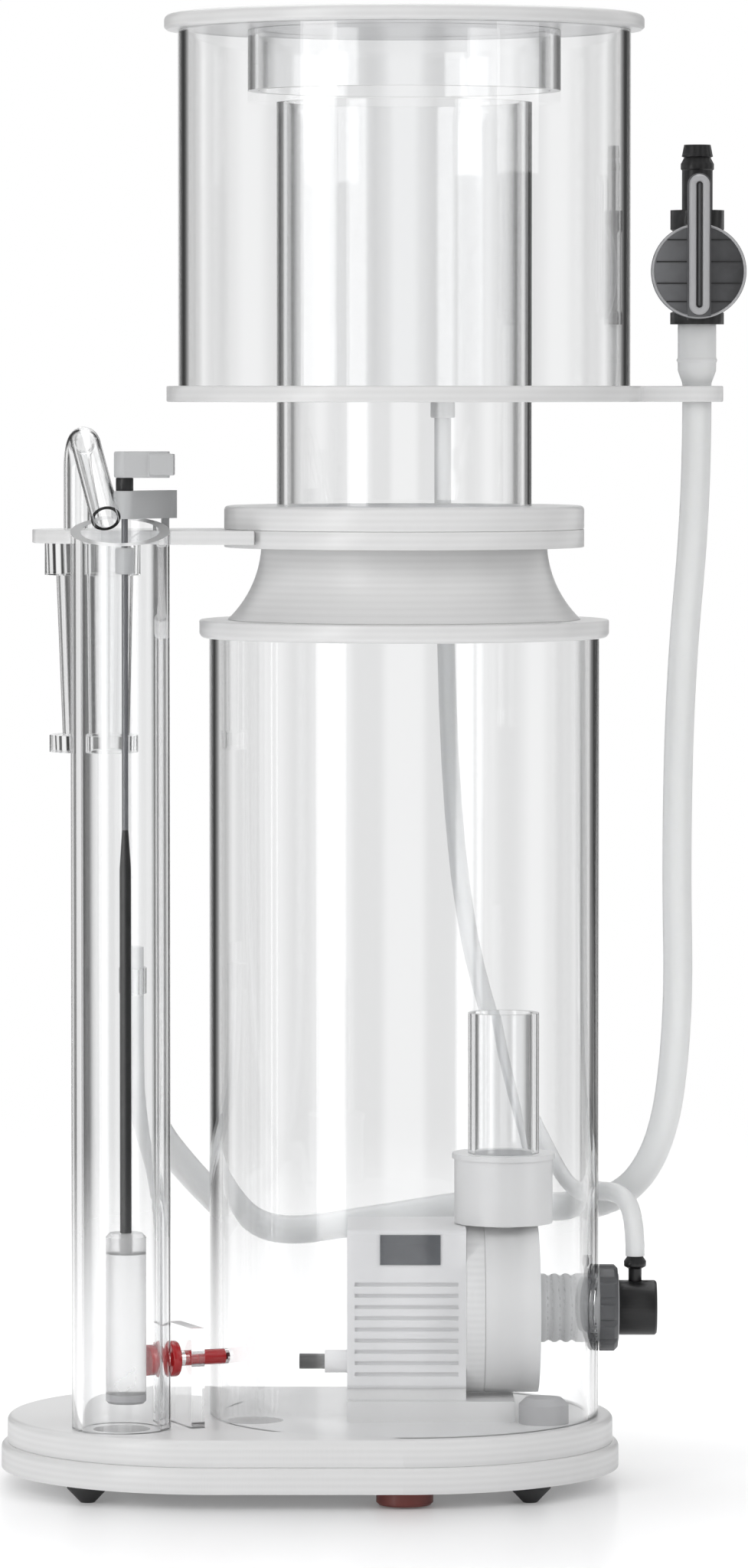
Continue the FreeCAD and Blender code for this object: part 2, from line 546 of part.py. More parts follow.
def build_tap():
    ear_x = f"({dim('ear_reach')} - {dim('ear_width')} / 2)"
    plate_low, plate_top = above("neck_show"), above("plate_thick")
    hose, cuff = f"{dim('hose_dia')} / 2", f"{dim('cuff_dia')} / 2"
    bore = f"{dim('hose_bore')} / 2"
    top = f"({plate_top} + {dim('cuff_height')})"
    profile = [(bore, plate_low), (hose, plate_low), (hose, f"{plate_top} + 1"),
               (cuff, f"{plate_top} + 6"), (cuff, f"{plate_top} + 9"),
               (f"{cuff} + 0.5", f"{plate_top} + 10"), (cuff, f"{plate_top} + 11"), (cuff, top),
               (bore, top)]
    node(turned("cuff", profile, ear_x), "hose_cuff")

    pipe, shoulder = f"{dim('tap_bore')} / 2", f"{dim('tap_shoulder_dia')} / 2"
    spigot = f"{bore} - {dim('glue_gap')}"
    middle, neck = f"{dim('tap_body_dia')} / 2", f"{dim('tap_neck_dia')} / 2"
    ridge, root = f"{dim('tap_barb_dia')} / 2", f"{dim('tap_barb_dia')} / 2 - 1.3"
    profile = [(pipe, f"{top} - 14"), (spigot, f"{top} - 14"), (spigot, top), (shoulder, top),
               (shoulder, f"{top} + 4.5"), (middle, f"{top} + 5.5"), (middle, f"{top} + 35.5"),
               (shoulder, f"{top} + 37"), (shoulder, f"{top} + 44.5"), (neck, f"{top} + 44.5"),
               (neck, f"{top} + 60"), (ridge, f"{top} + 60.5"), (ridge, f"{top} + 62.5"),
               (root, f"{top} + 65"), (f"{ridge} - 0.4", f"{top} + 65.4"), (root, f"{top} + 70"),
               (pipe, f"{top} + 70")]
    shell = turned("tap_shell", profile, ear_x)
    plug_z = f"({top} + 20.5)"
    reach = f"({dim('tap_shoulder_dia')} / 2 + 0.7)"
    hole = cylinder("tap_plug_hole", f"{dim('tap_plug_dia')} + 2 * {dim('running_gap')}",
                    f"{reach} + 6", ear_x, f"-{reach}", plug_z, ALONG_Y)
    node(cut("tap_shell_cut", shell, [hole]), "tap_body")

    grip, thick = dim("tap_grip_width"), dim("tap_grip_thick")
    disc_front = f"({reach} + {dim('tap_disc_thick')})"
    knob = fuse("tap_knob_solid", [
        cylinder("tap_disc", dim("tap_disc_dia"), dim("tap_disc_thick"), ear_x, f"-{disc_front}",
                 plug_z, ALONG_Y),
        cylinder("tap_plug", dim("tap_plug_dia"), f"{disc_front} + 5", ear_x, f"-{disc_front}", plug_z,
                 ALONG_Y),
        box("tap_grip", grip, f"{thick} + 0.5", f"{dim('tap_disc_dia')} + 14",
            f"{ear_x} - {grip} / 2", f"-{disc_front} - {thick}", f"{plug_z} - {dim('tap_disc_dia')} / 2 + 1"),
        cylinder("tap_grip_tip", grip, f"{thick} + 0.5", ear_x, f"-{disc_front} - {thick}",
                 f"{plug_z} + {dim('tap_disc_dia')} / 2 + 15", ALONG_Y),
    ])
    port = cylinder("tap_plug_port", dim("tap_bore"), f"2 * {dim('tap_plug_dia')}", ear_x, "0",
                    f"{plug_z} - {dim('tap_plug_dia')}")
    node(cut("tap_knob_cut", knob, [port]), "tap_knob")


# ---------------------------------------------------------------- standpipe and level control

def build_standpipe():
    floor = above("base_upper")
    top = f"({floor} + {dim('pipe_height')})"
    x, y = dim("pipe_x"), dim("pipe_y")
    shell = tube("pipe", dim("pipe_dia"), f"{dim('pipe_dia')} - 2 * {dim('pipe_wall')}", floor, top, x, y)
    slant = number(dim("pipe_slant"))
    tilt = FreeCAD.Rotation(Vec(1, 0, 0), slant)
    drop = f"({dim('pipe_dia')} * {math.tan(math.radians(slant))})"
    wedge = box("pipe_wedge", f"2 * {dim('pipe_dia')}", f"3 * {dim('pipe_dia')}", dim("pipe_dia"),
                f"{x} - {dim('pipe_dia')}", f"{y} - {dim('pipe_dia')} / 2", f"{top} - {drop}", tilt)
    hole = cylinder("pipe_bolt_hole", f"{dim('bolt_dia')} + 2 * {dim('glue_gap')}",
                    f"2 * {dim('pipe_wall')} + 4")
    distance = f"(sqrt({x}^2 + {y}^2) - {dim('pipe_dia')} / 2 - 2)"
    radial_place(hole, distance, bolt_level())
    node(cut("pipe_cut", shell, [wedge, hole]), "standpipe_tube")

    low = f"({floor} + {dim('plunger_lift')})"
    radius = f"{dim('plunger_dia')} / 2"
    body_top = f"({low} + {dim('plunger_length')})"
    cap_top = f"({body_top} + {dim('plunger_cap')})"
    rx, ry = dim("rod_x"), dim("pipe_y")
    node(turned("plunger", [("0", low), (radius, low), (radius, body_top), ("0", body_top)], rx, ry),
         "plunger")
    thick, thin = f"{dim('rod_dia')} / 2", f"{dim('rod_thin_dia')} / 2"
    hold = f"({thick} + {dim('glue_gap')})"
    profile = [(hold, body_top), (radius, body_top), (radius, f"{cap_top} - 1.5"),
               (f"{radius} - 1.5", cap_top), (hold, cap_top)]
    node(turned("plunger_cap", profile, rx, ry), "plunger_cap")
    profile = [("0", f"{low} - {dim('plunger_seal')}"), (f"{radius} - 1", f"{low} - {dim('plunger_seal')}"),
               (radius, f"{low} - {dim('plunger_seal')} + 1"), (radius, low), ("0", low)]
    node(turned("plunger_seal", profile, rx, ry), "plunger_seal")

    swell = f"({body_top} + {dim('rod_thick_length')})"
    neck = f"({swell} + {dim('rod_taper')})"
    end = f"({body_top} + {dim('plunger_cap')} + {dim('rod_length')})"
    profile = [("0", body_top), (thick, body_top), (thick, swell), (thin, neck), (thin, end), ("0", end)]
    node(turned("rod", profile, rx, ry), "control_rod")

    arm_top = above("collar_thick")
    bracket_low = f"({arm_top} + {dim('bracket_gap')})"
    bracket_top = f"({bracket_low} + {dim('bracket_height')})"
    px, py = dim("post_x"), dim("post_y")
    span = f"sqrt(({px} - {rx})^2 + ({py} - {ry})^2)"
    dx, dy = number(f"{px} - {rx}"), number(f"{py} - {ry}")
    turn = FreeCAD.Rotation(Vec(0, 0, 1), math.degrees(math.atan2(dy, dx)))
    side = turn.multVec(Vec(0, -0.5, 0))
    hub = dim("bracket_hub_dia")
    bracket = fuse("bracket_body", [
        cylinder("bracket_hub", hub, dim("bracket_height"), rx, ry, bracket_low),
        cylinder("bracket_end", dim("bracket_end_dia"), dim("bracket_height"), px, py, bracket_low),
        box("bracket_bar", span, hub, dim("bracket_height"), f"{rx} + {side.x} * {hub}",
            f"{ry} + {side.y} * {hub}", bracket_low, turn),
        cylinder("bracket_post", dim("post_dia"), f"{dim('arm_thick')} + {dim('bracket_gap')} + 0.5",
                 px, py, f"{arm_top} - {dim('arm_thick')}"),
    ])
    bore = cylinder("bracket_bore", f"{dim('rod_thin_dia')} + 2 * {dim('running_gap')}",
                    dim("bracket_height"), rx, ry, bracket_low)
    node(cut("bracket_cut", bracket, [bore]), "rod_bracket")

    washer_top = f"({bracket_top} + {dim('washer_height')})"
    slide = f"{dim('rod_thin_dia')} + 2 * {dim('running_gap')}"
    node(tube("washer", dim("washer_dia"), slide, bracket_top, washer_top, rx, ry), "lever_washer")
    hold = f"{dim('rod_thin_dia')} + 2 * {dim('glue_gap')}"
    sleeve_top = f"({arm_top} - {dim('arm_thick')} - 1)"
    node(tube("rod_sleeve", dim("rod_sleeve_dia"), hold, f"{sleeve_top} - {dim('rod_sleeve_length')}",
              sleeve_top, rx, ry), "rod_sleeve")

    lever_low = f"({washer_top} + {dim('running_gap')})"
    lever = fuse("lever_body", [
        cylinder("lever_hub", hub, dim("lever_height"), rx, ry, lever_low),
        box("lever_bar", f"{dim('lever_reach')} - 2", hub, dim("lever_height"), rx,
            f"{ry} - {hub} / 2", lever_low),
        box("lever_tip", f"{dim('lever_reach')} / 2", dim("lever_width"), f"{dim('lever_height')} - 2",
            f"{rx} + {dim('lever_reach')} / 2", f"{ry} - {dim('lever_width')} / 2", f"{lever_low} + 1"),
    ])
    bore = cylinder("lever_bore", f"{dim('rod_thin_dia')} + 2 * {dim('running_gap')}",
                    dim("lever_height"), rx, ry, lever_low)
    node(cut("lever_cut", lever, [bore]), "control_lever")


def build_outlet():
    top = f"({above('collar_thick')} - {dim('arm_thick')})"
    collar_low = f"({top} - {dim('outlet_collar')})"
    low = f"({top} - {dim('outlet_length')})"
    ring_top = f"({low} + {dim('outlet_ring')})"
    wall = dim("outlet_wall")
    wide, narrow = f"{dim('outlet_top_dia')} / 2", f"{dim('outlet_low_dia')} / 2"
    collar, ring = f"{dim('outlet_collar_dia')} / 2", f"{dim('outlet_ring_dia')} / 2"
    profile = [(f"{narrow} - {wall}", low), (ring, low), (ring, ring_top), (narrow, ring_top),
               (wide, collar_low), (collar, collar_low), (collar, top), (f"{wide} - {wall}", top)]
    node(turned("outlet", profile, dim("outlet_x"), dim("outlet_y")), "outlet_sleeve")


def bent_tube(points, bends, outer, bore):
    """A tube along straight runs joined by tangent arcs; returns its solid and its axis length."""
    edges = []
    cursor = points[0]
    for i in range(1, len(points) - 1):
        before = (points[i - 1] - points[i]).normalize()
        after = (points[i + 1] - points[i]).normalize()
        turn = math.pi - before.getAngle(after)
        back = bends[i - 1] * math.tan(turn / 2)
        start, end = points[i] + before * back, points[i] + after * back
        middle_way = (before + after).normalize()
        middle = points[i] + middle_way * (bends[i - 1] / math.cos(turn / 2) - bends[i - 1])
        edges.append(Part.LineSegment(cursor, start).toShape())
        edges.append(Part.Arc(start, middle, end).toShape())
        cursor = end
    edges.append(Part.LineSegment(cursor, points[-1]).toShape())
    wire = Part.Wire(edges)
    way = (points[1] - points[0]).normalize()
    skins = []
    for radius in (outer / 2, bore / 2):
        if radius > 0:
            rim = Part.Wire(Part.makeCircle(radius, points[0], way))
            skins.append(wire.makePipeShell([rim], True, True))
    solid = skins[0] if len(skins) == 1 else skins[0].cut(skins[1])
    return solid, wire.Length


def build_vent():
    arm_top = number(above("collar_thick"))
    x, y = number(dim("vent_x")), number(dim("vent_y"))
    start = at_axis(x, y, arm_top - number(dim("arm_thick")))
    corner = at_axis(x, y, arm_top + number(dim("vent_corner")))
    end = at_axis(number(dim("vent_end_x")), number(dim("vent_end_y")),
                  arm_top + number(dim("vent_end_rise")))
    solid, length = bent_tube([start, corner, end], [number(dim("vent_bend"))],
                              number(dim("vent_dia")), number(dim("vent_bore")))
    solid_node("vent_tube", solid)
    print(f"vent_tube axis {length:.1f} mm")


def build_brace():
    level = bolt_level()
    reach = f"sqrt({dim('pipe_x')}^2 + {dim('pipe_y')}^2)"
    pipe_bore = f"({dim('pipe_dia')} / 2 - {dim('pipe_wall')})"
    head_half = f"({dim('bolt_head_dia')} / 2)"
    head_start = f"({reach} - sqrt({pipe_bore}^2 - {head_half}^2) + {dim('running_gap')})"
    nut = dim("brace_nut")
    inner_start = f"({dim('body_dia')} / 2 - {dim('body_wall')} + {dim('slip_gap')})"
    shaft, head = f"{dim('bolt_dia')} / 2", f"{dim('bolt_head_dia')} / 2"
    tail = f"({head_start} - {inner_start})"
    profile = [("0", "0"), (shaft, "0"), (shaft, tail), (head, tail),
               (head, f"{tail} + {dim('bolt_head')}"), ("0", f"{tail} + {dim('bolt_head')}")]
    bolt = turned("bolt", profile)
    node(radial_place(bolt, inner_start, level), "brace_bolt")

    hold = f"{dim('bolt_dia')} + 2 * {dim('glue_gap')}"
    outer_start = f"({reach} - {dim('pipe_dia')} / 2 - {nut} - {dim('running_gap')})"
    outer_nut = tube("outer_nut", dim("brace_nut_dia"), hold, "0", nut)
    node(radial_place(outer_nut, outer_start, level), "brace_nut")

    angle = brace_angle()
    turn = FreeCAD.Rotation(Vec(0, 0, 1), angle)
    along = turn.multVec(Vec(1, 0, 0))
    side = turn.multVec(Vec(0, -0.5, 0))
    distance = f"({outer_start} - {dim('brace_gap')} - {dim('brace_plate')})"
    width = dim("brace_plate_width")
    plate = box("brace_plate_box", dim("brace_plate"), width, dim("brace_plate_height"),
                f"{along.x} * {distance} + {side.x} * {width}",
                f"{along.y} * {distance} + {side.y} * {width}", above("base_upper"), turn)
    hole = cylinder("brace_plate_hole", hold, f"{dim('brace_plate')} + 2")
    radial_place(hole, f"{distance} - 1", level)
    node(cut("brace_plate_cut", plate, [hole]), "brace_plate")


# ---------------------------------------------------------------- pump

def build_motor():
    floor = above("base_upper")
    low = f"({floor} + {dim('motor_low')})"
    x0, depth, length = motor_left(), dim("motor_depth"), dim("motor_length")
    block = box("motor_block", length, depth, dim("motor_height"), x0, f"-{depth} / 2", low)
    soft = doc.addObject("Part::Fillet", "motor_fillet")
    soft.Base = block
    doc.recompute()
    radius = number(dim("motor_round"))
    edges = []
    for i, edge in enumerate(block.Shape.Edges, 1):
        size = edge.BoundBox
        if size.XLength > 1:
            edges.append((i, radius, radius))
    soft.Edges = edges
    pitch, groove = dim("motor_groove_pitch"), dim("motor_groove")
    tools = []
    for i in range(9):
        z = f"{low} + 5 + {i} * {pitch}"
        for side, y in (("front", f"-{depth} / 2 - 1"), ("rear", f"{depth} / 2 - {groove}")):
            tools.append(box(f"rib_gap_{side}_{i}", f"{length} - 6", f"{groove} + 1", f"{pitch} * 0.35",
                             f"{x0} + 3", y, z))
    rotor = f"({dim('rotor_dia')} + 2 * {dim('rotor_gap')})"
    face = f"({x0} + {length})"
    pocket = f"({dim('rotor_length')} + {dim('bush_length')} + 4)"
    tools.append(cylinder("rotor_pocket", rotor, pocket, f"{face} - {pocket}", "0", pump_level(), ALONG_X))
    seat = f"{dim('bush_dia')} + 2 * {dim('glue_gap')}"
    tools.append(cylinder("bush_seat", seat, dim("bush_length"),
                          f"{face} - {pocket} - {dim('bush_length')}", "0", pump_level(), ALONG_X))
    node(cut("motor_cut", soft, tools), "pump_motor")

    shaft_hold = f"{dim('shaft_dia')} + 2 * {dim('running_gap')}"
    rear = f"({face} - {pocket} - {dim('bush_length')})"
    node(tube("rear_bush_solid", dim("bush_dia"), shaft_hold, "0", dim("bush_length"), rear, "0",
              pump_level(), ALONG_X), "rear_bush")
    front = f"({face} + ({dim('pump_flange')} - {dim('bush_length')}) / 2)"
    node(tube("front_bush_solid", dim("bush_dia"), shaft_hold, "0", dim("bush_length"), front, "0",
              pump_level(), ALONG_X), "front_bush")

    rotor_start = f"({face} - {dim('rotor_length')} - 2)"
    shaft_hole = f"{dim('shaft_dia')} + 2 * {dim('glue_gap')}"
    node(tube("rotor", dim("rotor_dia"), shaft_hole, "0", dim("rotor_length"), rotor_start, "0",
              pump_level(), ALONG_X), "rotor_magnet")
    wheel_start = f"({face} + {dim('pump_flange')} + 4)"
    shaft_end = f"({wheel_start} + {dim('wheel_thick')} + 2)"
    node(cylinder("shaft", dim("shaft_dia"), f"{shaft_end} - {rear} - 0.5", f"{rear} + 0.5", "0",
                  pump_level(), ALONG_X), "pump_shaft")

    needles = [cylinder("wheel_disc", dim("wheel_dia"), dim("wheel_thick"), wheel_start, "0",
                        pump_level(), ALONG_X)]
    needle_x = f"{wheel_start} + {dim('wheel_thick')} - 0.5"
    for ring, count in ((0.56, 8), (0.86, 14)):
        for i in range(count):
            angle = 2 * math.pi * i / count
            offset = f"({dim('wheel_dia')} / 2 * {ring})"
            needles.append(cylinder(f"needle_{count}_{i}", dim("needle_dia"),
                                    f"{dim('needle_length')} + 0.5", needle_x,
                                    f"{math.sin(angle)} * {offset}",
                                    f"{pump_level()} + {math.cos(angle)} * {offset}", ALONG_X))
    wheel_bore = cylinder("wheel_bore", shaft_hole, f"{dim('wheel_thick')} + 2", f"{wheel_start} - 1",
                          "0", pump_level(), ALONG_X)
    node(cut("wheel_cut", fuse("wheel_body", needles), [wheel_bore]), "needle_wheel")

    label_z = f"({low} + {dim('motor_height')} - {dim('motor_round')} - {dim('label_height')})"
    node(box("label_plate", dim("label_width"), dim("label_thick"), dim("label_height"),
             f"{x0} + {length} - {dim('label_width')} - 10", f"-{depth} / 2 - {dim('label_thick')}",
             label_z), "pump_label")

    gland_z = f"({floor} + {dim('gland_height')} + 3)"
    gland_x = f"({x0} - {dim('gland_length')})"
    node(cylinder("gland", dim("gland_dia"), dim("gland_length"), gland_x, "0", gland_z, ALONG_X),
         "cable_gland")
    node(cylinder("boot", dim("boot_dia"), dim("boot_length"), f"{gland_x} - {dim('boot_length')}", "0",
                  gland_z, ALONG_X), "cable_boot")

    wide = dim("foot_plate_depth")
    foot = fuse("pump_foot_body", [
        box("foot_plate_box", dim("foot_plate_length"), wide, dim("foot_plate"), x0, f"-{wide} / 2",
            floor),
        box("foot_riser", length, f"{wide} - 2 * {dim('foot_step')}",
            f"{dim('motor_low')} - {dim('foot_plate')}", x0, f"-{wide} / 2 + {dim('foot_step')}",
            f"{floor} + {dim('foot_plate')}"),
    ])
    node(foot, "pump_foot")


def build_pump_head():
    face = f"({motor_left()} + {dim('motor_length')})"
    level = pump_level()
    dia, wall = dim("chamber_dia"), dim("chamber_wall")
    bush = f"{dim('bush_dia')} + 2 * {dim('glue_gap')}"
    flange = tube("pump_flange_ring", dia, bush, "0", dim("pump_flange"), face, "0", level, ALONG_X)
    node(flange, "pump_flange")

    start = f"({face} + {dim('pump_flange')})"
    centre = f"({start} + {dim('outlet_from_flange')})"
    drum = cylinder("chamber_drum", dia, dim("chamber_length"), start, "0", level, ALONG_X)
    neck_low = f"({level} + {dia} / 2 - 12)"
    neck_top = f"({level} + {dia} / 2 + {dim('outlet_neck_rise')})"
    neck = cylinder("outlet_neck", dim("outlet_neck_dia"), f"{neck_top} - {neck_low}", centre, "0",
                    neck_low)
    hollow = cylinder("chamber_hollow", f"{dia} - 2 * {wall}", f"{dim('chamber_length')} - {wall}", start,
                      "0", level, ALONG_X)
    inlet = cylinder("chamber_inlet", dim("union_bore"), f"2 * {wall}",
                     f"{start} + {dim('chamber_length')} - {wall} - 1", "0", level, ALONG_X)
    way_out = cylinder("neck_bore", dim("outlet_neck_bore"), f"{neck_top} - {neck_low} + 2", centre, "0",
                       f"{neck_low} - 2")
    node(cut("chamber_cut", fuse("chamber_solid", [drum, neck]), [hollow, inlet, way_out]),
         "pump_chamber")

    outer, rim = f"{dim('socket_dia')} / 2", f"{dim('socket_rim_dia')} / 2"
    grip = f"({dim('outlet_neck_dia')} / 2 + {dim('glue_gap')})"
    seat = f"({dim('riser_dia')} / 2 + {dim('glue_gap')})"
    low = f"({level} + {dia} / 2 + {dim('socket_gap')})"
    floor, top = f"({low} + {dim('socket_floor')})", f"({low} + {dim('socket_height')})"
    profile = [(grip, low), (outer, low), (outer, f"{top} - 2"), (rim, f"{top} - 2"), (rim, top),
               (seat, top), (seat, floor), (grip, floor)]
    node(turned("socket", profile, centre), "outlet_socket")
    riser_bore = f"{dim('riser_dia')} - 2 * {dim('riser_wall')}"
    node(tube("riser", dim("riser_dia"), riser_bore, floor, f"{floor} + {dim('riser_height')}", centre),
         "riser_tube")


def build_intake():
    level = pump_level()
    start = (f"({motor_left()} + {dim('motor_length')} + {dim('pump_flange')}"
             f" + {dim('chamber_length')})")
    bore, outer = f"{dim('union_bore')} / 2", f"{dim('union_dia')} / 2"
    end = f"({union_end()} - {start})"
    profile = [(bore, "0"), (outer, "0")]
    for i in range(3):
        near = f"(3 + {4.6 * i})"
        profile += [(outer, near), (f"{outer} - 0.8", f"{near} + 0.8"),
                    (f"{outer} - 0.8", f"{near} + 2"), (outer, f"{near} + 2.8")]
    profile += [(outer, end), (bore, end)]
    node(turned("union", profile, start, "0", level, ALONG_X), "intake_union")

    nut_start = f"({dim('body_dia')} / 2 + {dim('slip_gap')})"
    flat, thick = f"{dim('nut_dia')} / 2", dim("nut_thick")
    hold = f"({outer} + {dim('running_gap')})"
    profile = [(hold, "0"), (flat, "0"), (flat, f"{thick} - 1.5"), (f"{flat} - 1.5", thick),
               (hold, thick)]
    nut = turned("union_nut_body", profile, nut_start, "0", level, ALONG_X)
    notches = []
    for i in range(12):
        angle = 2 * math.pi * (i + 0.5) / 12
        notches.append(cylinder(f"nut_notch_{i}", "3.4", f"{thick} + 2", f"{nut_start} - 1",
                                f"{math.sin(angle)} * ({flat} + 0.6)",
                                f"{level} + {math.cos(angle)} * ({flat} + 0.6)", ALONG_X))
    node(cut("union_nut_cut", nut, notches), "union_nut")

    tail, length = dim("nozzle_tail"), dim("nozzle_length")
    inner, slim = f"{dim('nozzle_bore')} / 2", f"({bore} - {dim('glue_gap')})"
    wide = f"{dim('nozzle_dia')} / 2"
    profile = [(inner, "0"), (slim, "0"), (slim, tail), (wide, tail), (wide, f"{tail} + {length} - 0.8"),
               (f"{wide} - 0.8", f"{tail} + {length}"), (inner, f"{tail} + {length}")]
    nozzle_start = f"({union_end()} - {tail})"
    nozzle = turned("nozzle", profile, nozzle_start, "0", level, ALONG_X)
    nipple_x = f"({union_end()} + {length} - {dim('nipple_from_face')})"
    hole = cylinder("nipple_hole", f"{dim('nipple_dia')} + 2 * {dim('glue_gap')}", f"{wide} + 1",
                    nipple_x, "0", level)
    node(cut("nozzle_cut", nozzle, [hole]), "intake_nozzle")

    stem, cap = f"{dim('nipple_dia')} / 2", f"{dim('nipple_cap_dia')} / 2"
    base = f"({level} + {inner} + 0.5)"
    top = f"({level} + {wide} + {dim('nipple_rise')})"
    pipe = f"{dim('nipple_bore')} / 2"
    profile = [(pipe, base), (stem, base), (stem, f"{top} - 5"), (cap, f"{top} - 4"),
               (cap, f"{top} - 2"), (f"{cap} - 1.4", top), (pipe, top)]
    node(turned("nipple", profile, nipple_x), "venturi_nipple")


# ---------------------------------------------------------------- hoses

# Route points are millimetres from the chamber's axis in plan, and heights above the floor.
TAP_HOSE_ROUTE = [
    (114.5, 0, 386), (108.3, 1, 318), (106.8, 2, 246), (108.2, 4, 180), (101.5, 17, 126), (80, 53, 101),
    (38, 87, 102), (-14, 94, 93), (-60, 74, 89), (-82, 44, 113), (-102, -2, 144), (-104, -14, 176),
    (-104, -14, 212),
]
AIR_HOSE_ROUTE = [
    (17.3, 76, 384), (17.5, 88.5, 336), (20.2, 87, 262), (27.5, 84.5, 205), (42, 77, 160), (60, 61, 127),
    (73, 42, 110), (86, 13, 113),
]
AIR_HOSE_DROP = 15.1


def hose(label, points, outer, bore):
    """A hose along its route, each arc as large as its two runs allow."""
    bends = []
    for i in range(1, len(points) - 1):
        before, after = points[i] - points[i - 1], points[i + 1] - points[i]
        turn = before.getAngle(after)
        bends.append(0.45 * min(before.Length, after.Length) / math.tan(turn / 2))
    solid, length = bent_tube(points, bends, outer, bore)
    expected = math.pi / 4 * (outer * outer - bore * bore) * length
    print(label, "radii", [round(bend, 1) for bend in bends], f"length {length:.0f}",
          f"volume {solid.Volume:.0f} expected {expected:.0f}")
    solid_node(label, solid)


def build_clip():
    """A clip on the back of the standpipe holds the free end of the tap's hose."""
    low = f"({above('base_upper')} + {dim('clip_low')})"
    x, y, height = dim("clip_x"), dim("clip_y"), dim("clip_height")
    outer = f"{dim('hose_dia')} + 2 * {dim('clip_wall')}"
    web = f"({dim('hose_dia')} * 0.6)"
    ring = cylinder("clip_ring", outer, height, x, y, low)
    arm = box("clip_arm", web, f"{y} - {dim('pipe_y')}", height, f"{x} - {web} / 2", dim("pipe_y"), low)
    tools = [
        cylinder("clip_bore", f"{dim('hose_dia')} + 2 * {dim('glue_gap')}", height, x, y, low),
        cylinder("clip_seat", f"{dim('pipe_dia')} + 2 * {dim('glue_gap')}", height, dim("pipe_x"),
                 dim("pipe_y"), low),
    ]
    node(cut("clip_cut", fuse("clip_solid", [ring, arm]), tools), "hose_clip")


def build_hoses():
    ear_x = number(f"{dim('ear_reach')} - {dim('ear_width')} / 2")
    plate_low = number(above("neck_show"))
    route = [at_axis(ear_x, 0, plate_low)] + [at_axis(*point) for point in TAP_HOSE_ROUTE]
    hose("tap_hose", route, number(dim("hose_dia")), number(dim("hose_bore")))

    port = at_axis(number(dim("port_x")), number(dim("port_y")), plate_low - number(dim("port_height")))
    nipple_x = number(f"{union_end()} + {dim('nozzle_length')} - {dim('nipple_from_face')}")
    nipple_z = number(f"{pump_level()} + {dim('nozzle_dia')} / 2 + {dim('nipple_rise')}")
    route = [port] + [at_axis(*point) for point in AIR_HOSE_ROUTE]
    route += [at_axis(nipple_x, 0, nipple_z + AIR_HOSE_DROP), at_axis(nipple_x, 0, nipple_z)]
    hose("air_hose", route, number(dim("air_hose_dia")), number(dim("air_hose_bore")))


# ---------------------------------------------------------------- check and write

def check_document():
    doc.recompute()
    for item in doc.Objects:
        if "Invalid" in item.State or "Error" in item.State:
            raise RuntimeError(f"{item.Name} failed: {item.State}")
    labels = [item.Label for item in NODES]
    if len(set(labels)) != len(labels):
        raise RuntimeError("two nodes share a name")
    for item in NODES:
        if item.Shape.isNull() or not item.Shape.isValid() or item.Shape.Volume <= 0:
            raise RuntimeError(f"{item.Label} has no valid solid")


def write_parts():
    os.makedirs("parts", exist_ok=True)
    for item in NODES:
        item.Shape.exportStep(os.path.join("parts", item.Label + ".step"))
        size = item.Shape.BoundBox
        print(f"{item.Label:18} solids {len(item.Shape.Solids)} volume {item.Shape.Volume:9.0f}"
              f"  x {size.XMin:7.1f} {size.XMax:7.1f}  y {size.YMin:7.1f} {size.YMax:7.1f}"
              f"  z {size.ZMin:6.1f} {size.ZMax:6.1f}")


fill_sheet()
build_base()
build_chamber()
build_collar()
build_cup()
build_tap()
build_standpipe()
build_outlet()
build_vent()
build_brace()
build_motor()
build_pump_head()
build_intake()
build_clip()
build_hoses()
check_document()
write_parts()
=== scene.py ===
"""The protein skimmer's looks: materials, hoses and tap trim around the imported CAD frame, in metres."""
import json
import math

import bmesh
import bpy
from mathutils import Matrix, Vector


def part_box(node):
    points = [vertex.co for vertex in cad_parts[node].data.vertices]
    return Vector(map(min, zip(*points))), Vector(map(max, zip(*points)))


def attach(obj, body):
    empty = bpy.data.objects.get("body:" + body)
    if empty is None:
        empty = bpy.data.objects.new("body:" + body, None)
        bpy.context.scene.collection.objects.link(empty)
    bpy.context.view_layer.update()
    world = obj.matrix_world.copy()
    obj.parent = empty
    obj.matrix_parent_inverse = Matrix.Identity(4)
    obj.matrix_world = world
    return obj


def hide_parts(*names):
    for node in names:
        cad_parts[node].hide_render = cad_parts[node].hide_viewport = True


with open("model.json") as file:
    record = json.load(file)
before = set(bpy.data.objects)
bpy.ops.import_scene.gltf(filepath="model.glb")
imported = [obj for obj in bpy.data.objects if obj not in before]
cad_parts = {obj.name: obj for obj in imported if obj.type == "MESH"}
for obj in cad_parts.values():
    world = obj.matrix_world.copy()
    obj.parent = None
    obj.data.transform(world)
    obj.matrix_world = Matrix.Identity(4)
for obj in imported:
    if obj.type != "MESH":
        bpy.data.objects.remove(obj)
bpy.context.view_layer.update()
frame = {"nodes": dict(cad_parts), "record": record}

scene = bpy.context.scene

# Places read from the frame.
tube_low, tube_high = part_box("body_tube")
AXIS = Vector(((tube_low.x + tube_high.x) / 2, (tube_low.y + tube_high.y) / 2, 0))


def from_axis(points):
    """Points in millimetres from the chamber's axis and the floor, as points in the frame."""
    return [AXIS + Vector(point) / 1000 for point in points]


# ---------------------------------------------------------------- camera

CAMERA_DISTANCE = 3.0
CAMERA_HEIGHT = 0.429
CAMERA_SIDE = -0.01185
AIM_HEIGHT = 0.2748
LENS = 175.8


